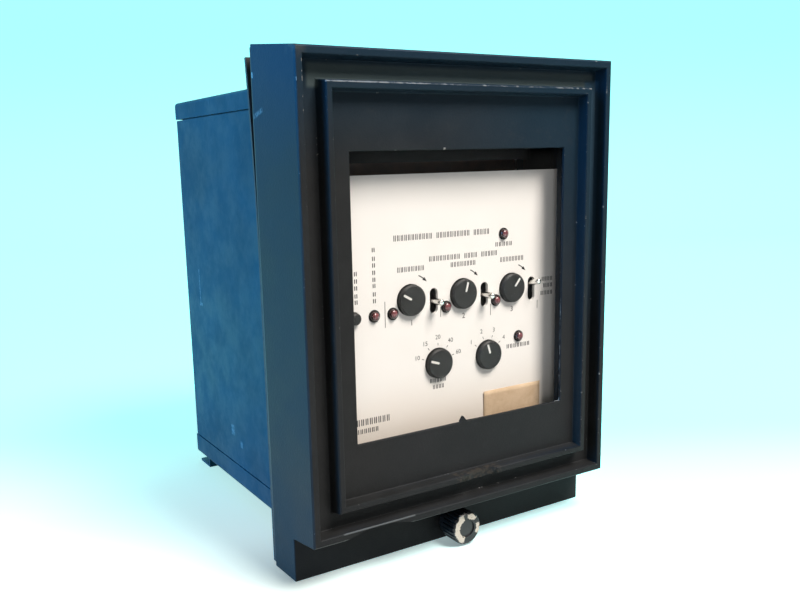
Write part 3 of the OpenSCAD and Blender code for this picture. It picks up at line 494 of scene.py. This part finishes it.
def bevelled(node, name, body, slot, width, least):
    """A copy of a node with its long sharp edges rounded. Those and slanted faces are marked as edges."""
    bm = node_form(node)
    bmesh.ops.dissolve_limit(bm, angle_limit=FLAT_ANGLE, verts=bm.verts, edges=bm.edges)
    mark = bm.faces.layers.float.new("edge")
    chosen = [
        e for e in bm.edges
        if len(e.link_faces) == 2
        and e.calc_length() > least * MM
        and e.calc_face_angle(0) > SHARP_ANGLE
    ]
    done = bmesh.ops.bevel(
        bm, geom=chosen, offset=width * MM, segments=3, profile=0.5, affect="EDGES", clamp_overlap=False)
    for face in done["faces"]:
        face[mark] = 1.0
    for face in bm.faces:
        if SLANT_FROM < abs(face.normal.y) < SLANT_TO:
            face[mark] = 1.0
    made = piece(name, bm, MATERIALS[slot], body)
    made.modifiers.new("weighted", "WEIGHTED_NORMAL").keep_sharp = True
    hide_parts(node)


def islands(node):
    """The boxes of a node's separate solids, from left to right."""
    bm = node_form(node)
    waiting = set(bm.verts)
    boxes = []
    while waiting:
        group = [waiting.pop()]
        for vert in group:
            for e in vert.link_edges:
                other = e.other_vert(vert)
                if other in waiting:
                    waiting.remove(other)
                    group.append(other)
        low = Vector([min(v.co[i] for v in group) for i in range(3)])
        high = Vector([max(v.co[i] for v in group) for i in range(3)])
        boxes.append((low, high))
    bm.free()
    return sorted(boxes, key=lambda b: (round(b[0].x, 4), b[0].z))


def middle_of(node):
    low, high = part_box(node)
    return (low + high) / 2


def plate(bm, outline, front, back):
    """A flat shape in X and Z with a thickness along Y."""
    faces = []
    for y in (front, back):
        faces.append([bm.verts.new((x, y, z)) for x, z in outline])
    bm.faces.new(faces[0])
    bm.faces.new(list(reversed(faces[1])))
    count = len(outline)
    for i in range(count):
        j = (i + 1) % count
        bm.faces.new((faces[0][j], faces[0][i], faces[1][i], faces[1][j]))


def bar_outline(start, end, width, steps=6):
    """Bar with round ends from start to end, as points in X and Z."""
    along = (end - start).normalized()
    side = Vector((-along.y, along.x))
    points = []
    for centre, sign in ((end, 1), (start, -1)):
        for i in range(steps + 1):
            a = math.pi * i / steps
            points.append(centre + sign * (along * math.sin(a) - side * math.cos(a)) * width / 2)
    return points


def lathe(bm, centre, profile, segments=32):
    """Turns a closed profile of (radius, y) points round an axis along Y."""
    rings = []
    for r, y in profile:
        rings.append([
            bm.verts.new((
                centre.x + r * math.cos(2 * math.pi * k / segments), y,
                centre.z + r * math.sin(2 * math.pi * k / segments)))
            for k in range(segments)
        ])
    count = len(profile)
    for i in range(count):
        for k in range(segments):
            n = (k + 1) % segments
            j = (i + 1) % count
            bm.faces.new((rings[i][k], rings[i][n], rings[j][n], rings[j][k]))


def outward(bm):
    """Turns every face outwards."""
    bmesh.ops.recalc_face_normals(bm, faces=bm.faces)
    return bm


# Cover with rounded edges

bevelled("cover", "cover_moulded", "cover", "cover_moulding", 0.5, 6)


# White pointers in the knobs' grooves

def pointers():
    for name, angle in POINTERS.items():
        node = "knob_" + name
        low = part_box(node)[0]
        centre = Vector((middle_of(node).x, middle_of(node).z))
        turn = math.radians(angle)
        along = Vector((math.sin(turn), math.cos(turn)))
        inner, outer, width = 1.5 * MM, 5.2 * MM, 1.05 * MM
        front, back = low.y + 0.05 * MM, low.y + 0.45 * MM
        outline = bar_outline(centre + along * inner, centre + along * outer, width)
        bm = bmesh.new()
        plate(bm, outline, front, back)
        piece("pointer_" + name, outward(bm), POINTER_WHITE, node)


pointers()


# Dark rings round the lamps

def lamp_rings():
    bm = bmesh.new()
    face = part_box("front_panel")[0].y
    lamp_r = 2.35
    # Distance from the lamp and height over the panel, in millimetres
    section = ((0.02, 0.05), (0.05, 0.5), (0.2, 0.6), (0.4, 0.45), (0.5, 0))
    profile = [((lamp_r + out) * MM, face - up * MM) for out, up in section]
    for low, high in islands("indicator_lamps"):
        lathe(bm, (low + high) / 2, profile)
    piece("lamp_rings", outward(bm), MATERIALS["black_moulding"], "case")


lamp_rings()


# Threads of the mounting studs

def stud_threads():
    """Studs with rings in the place of a thread, and a chamfer at the rear end."""
    pitch, depth = 0.8 * MM, 0.25 * MM
    bore, chamfer = 0.2 * MM, 0.7 * MM
    bm = bmesh.new()
    for low, high in islands("mounting_studs"):
        centre = (low + high) / 2
        r = (high.x - low.x) / 2
        turns = int((high.y - low.y - 2 * pitch) / pitch)
        profile = [(bore, low.y), (r, low.y)]
        for i in range(turns):
            y = low.y + pitch * (i + 1)
            profile += [(r, y + 0.1 * pitch), (r - depth, y + 0.5 * pitch), (r, y + 0.9 * pitch)]
        profile += [(r - chamfer, high.y), (bore, high.y)]
        lathe(bm, centre, profile, segments=20)
    made = piece("mounting_stud_threads", outward(bm), MATERIALS["steel"], "case")
    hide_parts("mounting_studs")


stud_threads()


# Print on the front panel: plain scale numbers, bars for words, arrows and lines

PRINT_T = 0.03 * MM
# Left end, right end, middle and height of each printed row, in millimetres, and its words in letters
ROWS = [
    (-30.7, 23.0, 36.5, 2.7, (11, 10, 5)),
    (26.2, 36.9, 29.9, 2.2, (5,)),
    (-11.9, 27.7, 26.0, 2.5, (9, 4, 5)),
    (-12.2, -2.7, -30.9, 2.1, (5,)),
    (-10.6, -3.9, -34.0, 2.1, (4,)),
    (33.3, 48.4, -20.6, 2.2, (7,)),
    (-54, -34.0, -44.1, 3.1, (9,)),
    (-54, -40.1, -48.2, 2.3, (7,)),
    (55.5, 63, 10.7, 2.2, (4,)),
    (56.6, 63, 7.4, 2.2, (3,)),
    (54.8, 63, 3.7, 2.2, (4,)),
]
# Each delay knob's word: left end, right end and middle from the knob's axis, height and letters
KNOB_WORD = (-7, 7.8, 14, 2.4, 8)
MARK_H = 2
MARK_W = 1.4
# Columns of single marks: place across and heights
COLUMNS = [
    (-50, (22.6, 19.4, 16.4, 12.9, 10.2)),
    (-40.8, (32.3, 28.5, 25.6, 22.4, 19.3, 16.6, 12.9, 9.9)),
]
# Place across, lower and upper end of the thin lines
LINES = [(-35.5, -2.6, 8.9), (-5.5, -1.2, 3.5), (23.6, -3.7, 1.6), (53, -3.6, 0.5)]
DIALS = {
    "reset_time": (("10", "15", "20", "40", "60"), (-72, -36, 0, 36, 72)),
    "shots": (("1", "2", "3", "4"), (-54, -18, 18, 54)),
}
DIAL_R, TICK_R0, TICK_R1 = 12.2, 8.4, 9.4
NUMBER_H = 2.1
LINE_W = 0.3
# Each delay knob's number: place from the knob's axis, and height
KNOB_NUMBER = (0.5, -10.6, 2.6)
# Arrow by each delay knob: radius, first and last angle, width, head's length, back and half width
ARROW_R, ARROW_FROM, ARROW_TO, ARROW_W = 11.6, 24, 40, 0.45
HEAD_L, HEAD_BACK, HEAD_HALF = 2, 0.4, 0.8
# Part of each letter's place that its strokes take up, and part of that for one stroke
LETTER_FILL, STROKE_FILL = 0.62, 0.34
# Type size for figures of height one
TYPE_SIZE = 1.4


def number(bm, text, x, z, height, front):
    """Plain figures standing on the panel."""
    curve = bpy.data.curves.new("figures", "FONT")
    curve.body = text
    curve.size = height * TYPE_SIZE
    curve.align_x = "CENTER"
    curve.align_y = "CENTER"
    curve.resolution_u = 3
    curve.extrude = PRINT_T / 2
    carrier = bpy.data.objects.new("figures", curve)
    bpy.context.scene.collection.objects.link(carrier)
    shaped = carrier.evaluated_get(bpy.context.evaluated_depsgraph_get())
    mesh = bpy.data.meshes.new_from_object(shaped)
    upright = Matrix.Rotation(math.radians(90), 4, "X")
    mesh.transform(Matrix.Translation((x, front - PRINT_T / 2, z)) @ upright)
    bm.from_mesh(mesh)
    bpy.data.objects.remove(carrier)
    bpy.data.curves.remove(curve)
    bpy.data.meshes.remove(mesh)


def printed_bar(bm, x0, z0, x1, z1, width, front):
    start, end = Vector((x0, z0)) * MM, Vector((x1, z1)) * MM
    plate(bm, bar_outline(start, end, width * MM, 3), front - PRINT_T, front)


def letter(bm, x, z, width, height, front):
    """Two upright strokes in the place of a letter."""
    stroke = STROKE_FILL * width
    reach = (height - stroke) / 2
    for side in (-1, 1):
        at = x + side * (width - stroke) / 2
        printed_bar(bm, at, z - reach, at, z + reach, stroke, front)


def panel_rows(front):
    bm = bmesh.new()
    for left, right, z, height, words in ROWS:
        pitch = (right - left) / (sum(words) + len(words) - 1)
        x = left
        for letters in words:
            for _ in range(letters):
                letter(bm, x + pitch / 2, z, LETTER_FILL * pitch, height, front)
                x += pitch
            x += pitch
    for x, heights in COLUMNS:
        for z in heights:
            letter(bm, x, z, MARK_W, MARK_H, front)
    for x, low, high in LINES:
        printed_bar(bm, x, low, x, high, LINE_W, front)
    piece("panel_print_bars", outward(bm), INK, "case")


def on_circle(at, radius, angle):
    """A point round an axis, by its angle clockwise from the top, as a place in X and Z."""
    return at.x + radius * math.sin(angle), at.z + radius * math.cos(angle)


def dial(bm, at, texts, angles, front):
    """Numbers and short lines round a selector."""
    for text, angle in zip(texts, angles):
        turn = math.radians(angle)
        x, z = on_circle(at, DIAL_R, turn)
        number(bm, text, x * MM, z * MM, NUMBER_H * MM, front)
        printed_bar(bm, *on_circle(at, TICK_R0, turn), *on_circle(at, TICK_R1, turn), LINE_W, front)


def arrow(bm, at, front):
    """Bent arrow that turns down to the right."""
    start, end = math.radians(ARROW_FROM), math.radians(ARROW_TO)
    steps = 4
    for k in range(steps):
        a, b = (start + (end - start) * t / steps for t in (k, k + 1))
        printed_bar(bm, *on_circle(at, ARROW_R, a), *on_circle(at, ARROW_R, b), ARROW_W, front)
    tip = Vector(on_circle(at, ARROW_R, end))
    along = Vector((math.cos(end), -math.sin(end)))
    side = Vector((-along.y, along.x)) * HEAD_HALF
    foot = tip - along * HEAD_BACK
    head = [tip + along * HEAD_L, foot + side, foot - side]
    plate(bm, [p * MM for p in head], front - PRINT_T, front)


def panel_scales(front):
    bm = bmesh.new()
    for name, (texts, angles) in DIALS.items():
        dial(bm, middle_of("knob_" + name) / MM, texts, angles, front)
    for i, name in enumerate(("first", "second", "third")):
        at = middle_of("knob_" + name) / MM
        right, up, height = KNOB_NUMBER
        number(bm, str(i + 1), (at.x + right) * MM, (at.z + up) * MM, height * MM, front)
        left, right, up, height, letters = KNOB_WORD
        pitch = (right - left) / letters
        for k in range(letters):
            letter(bm, at.x + left + pitch * (k + 0.5), at.z + up, LETTER_FILL * pitch, height, front)
        arrow(bm, at, front)
    piece("panel_scale_marks", outward(bm), INK, "case")


panel_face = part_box("front_panel")[0].y
panel_rows(panel_face)
panel_scales(panel_face)


# Bare tan label at the lower right, its free corner a little lifted

def label_plate(front):
    left, right, low, high = 19.2, 55.1, -60, -41
    across, up = 18, 8
    height, lifted, lift_w = 0.12, 0.5, 9
    bm = bmesh.new()
    grid = []
    for j in range(up + 1):
        row = []
        for i in range(across + 1):
            x = left + (right - left) * i / across
            z = low + (high - low) * j / up
            lift = lifted * max(0, 1 - (x - left) / lift_w) ** 2 * (j / up) ** 2
            row.append(bm.verts.new((x * MM, front - (height + lift) * MM, z * MM)))
        grid.append(row)
    for j in range(up):
        for i in range(across):
            bm.faces.new((grid[j][i], grid[j][i + 1], grid[j + 1][i + 1], grid[j + 1][i]))
    made = piece("label_plate", bm, LABEL_TAN, "case")
    thick = made.modifiers.new("thickness", "SOLIDIFY")
    thick.thickness = 0.1 * MM
    thick.offset = -1


label_plate(panel_face)


# Studio: floor sweep, light and camera

def view_axes():
    """The camera's directions to the right, up and back."""
    yaw, pitch, roll = (math.radians(a) for a in (CAMERA_YAW, CAMERA_PITCH, CAMERA_ROLL))
    ahead = Vector((math.sin(yaw) * math.cos(pitch), math.cos(yaw) * math.cos(pitch), math.sin(pitch)))
    level = Vector((math.cos(yaw), -math.sin(yaw), 0))
    down = ahead.cross(level)
    right = math.cos(roll) * level + math.sin(roll) * down
    below = -math.sin(roll) * level + math.cos(roll) * down
    return right, -below, -ahead


def camera():
    data = bpy.data.cameras.new("photo_camera")
    data.sensor_width = SENSOR
    data.lens = FOCAL_PX / IMAGE_W * SENSOR
    data.shift_x = (IMAGE_W / 2 - PRINCIPAL_PX[0]) / IMAGE_W
    data.shift_y = (PRINCIPAL_PX[1] - IMAGE_H / 2) / IMAGE_W
    data.clip_start = 0.01
    data.clip_end = 50
    made = bpy.data.objects.new("photo_camera", data)
    turn = Matrix(view_axes()).transposed()
    made.matrix_world = Matrix.Translation(Vector(CAMERA_MM) * MM) @ turn.to_4x4()
    bpy.context.scene.collection.objects.link(made)
    bpy.context.scene.camera = made


def sweep():
    """Floor that curves up into a backdrop behind the relay."""
    floor_z = cad_box[0].z
    ahead = Vector((math.sin(math.radians(CAMERA_YAW)), math.cos(math.radians(CAMERA_YAW)), 0))
    level = Vector((ahead.y, -ahead.x, 0))
    start, bend, radius, top, half = -3.0, 1.4, 0.8, 3.0, 5.0
    steps = 24
    profile = [(start, 0)]
    for i in range(steps + 1):
        angle = math.pi / 2 * i / steps
        profile.append((bend + radius * math.sin(angle), radius * (1 - math.cos(angle))))
    profile.append((bend + radius, top))
    bm = bmesh.new()
    rows = []
    for far, height in profile:
        middle = ahead * far + Vector((0, 0, floor_z + height))
        rows.append([bm.verts.new(middle + level * s * half) for s in (-1, 1)])
    for a, b in zip(rows, rows[1:]):
        bm.faces.new((a[0], a[1], b[1], b[0]))
    floor = mesh_object("floor_sweep", bm, studio_paper())
    floor.visible_diffuse = False


def area_light(name, place, target, size, power, colour, receivers=None):
    data = bpy.data.lights.new(name, "AREA")
    data.size = size
    data.energy = power
    data.color = colour
    made = bpy.data.objects.new(name, data)
    made.light_linking.receiver_collection = receivers
    made.location = place
    made.rotation_euler = (Vector(target) - Vector(place)).to_track_quat("-Z", "Y").to_euler()
    bpy.context.scene.collection.objects.link(made)


def lit_group(name, members, state):
    """A group of objects that a light takes in or leaves out."""
    group = bpy.data.collections.new(name)
    for member in members:
        group.objects.link(bpy.data.objects[member])
    for entry in group.collection_objects:
        entry.light_linking.link_state = state
    return group


def light():
    target = (0, 0, 0)
    area_light("key", (0.42, -1.1, 1.6), target, 0.75, 64, (1, 0.93, 0.86))
    area_light("top", (0.5, 0.6, 1.3), target, 0.9, 3, (1, 0.98, 0.95))
    # The blue light from the left leaves out the floor and the panel with its print, label and levers
    panel = ["front_panel", "label_plate", "panel_print_bars", "panel_scale_marks"]
    panel += ["toggle_lever_" + name for name in ("first", "second", "third")]
    all_but_panel = lit_group("all_but_panel", ["floor_sweep"] + panel, "EXCLUDE")
    area_light("left", (-1.3, 0.2, 0.5), target, 1.2, 62, (0.03, 0.44, 1.0), all_but_panel)
    panel_only = lit_group("panel_only", panel, "INCLUDE")
    area_light("panel", (-0.7, -1.1, 0), target, 0.8, 2.8, (0.97, 0.98, 1), panel_only)
    bpy.context.scene.view_settings.view_transform = "Standard"


def sky():
    """Light from all round: thrown back by the table from below, and weaker from above."""
    world = bpy.data.worlds.new("studio")
    world.use_nodes = True
    nodes, links = world.node_tree.nodes, world.node_tree.links
    split = nodes.new("ShaderNodeSeparateXYZ")
    links.new(nodes.new("ShaderNodeTexCoord").outputs["Generated"], split.inputs[0])
    ramp = nodes.new("ShaderNodeValToRGB")
    links.new(split.outputs["Z"], ramp.inputs["Fac"])
    ramp.color_ramp.elements[0].color = (0.36, 0.35, 0.34, 1)
    ramp.color_ramp.elements[1].color = (0.14, 0.165, 0.17, 1)
    ramp.color_ramp.elements[1].position = 0.1
    links.new(ramp.outputs["Color"], nodes["Background"].inputs["Color"])
    bpy.context.scene.world = world


sweep()
light()
sky()
camera()
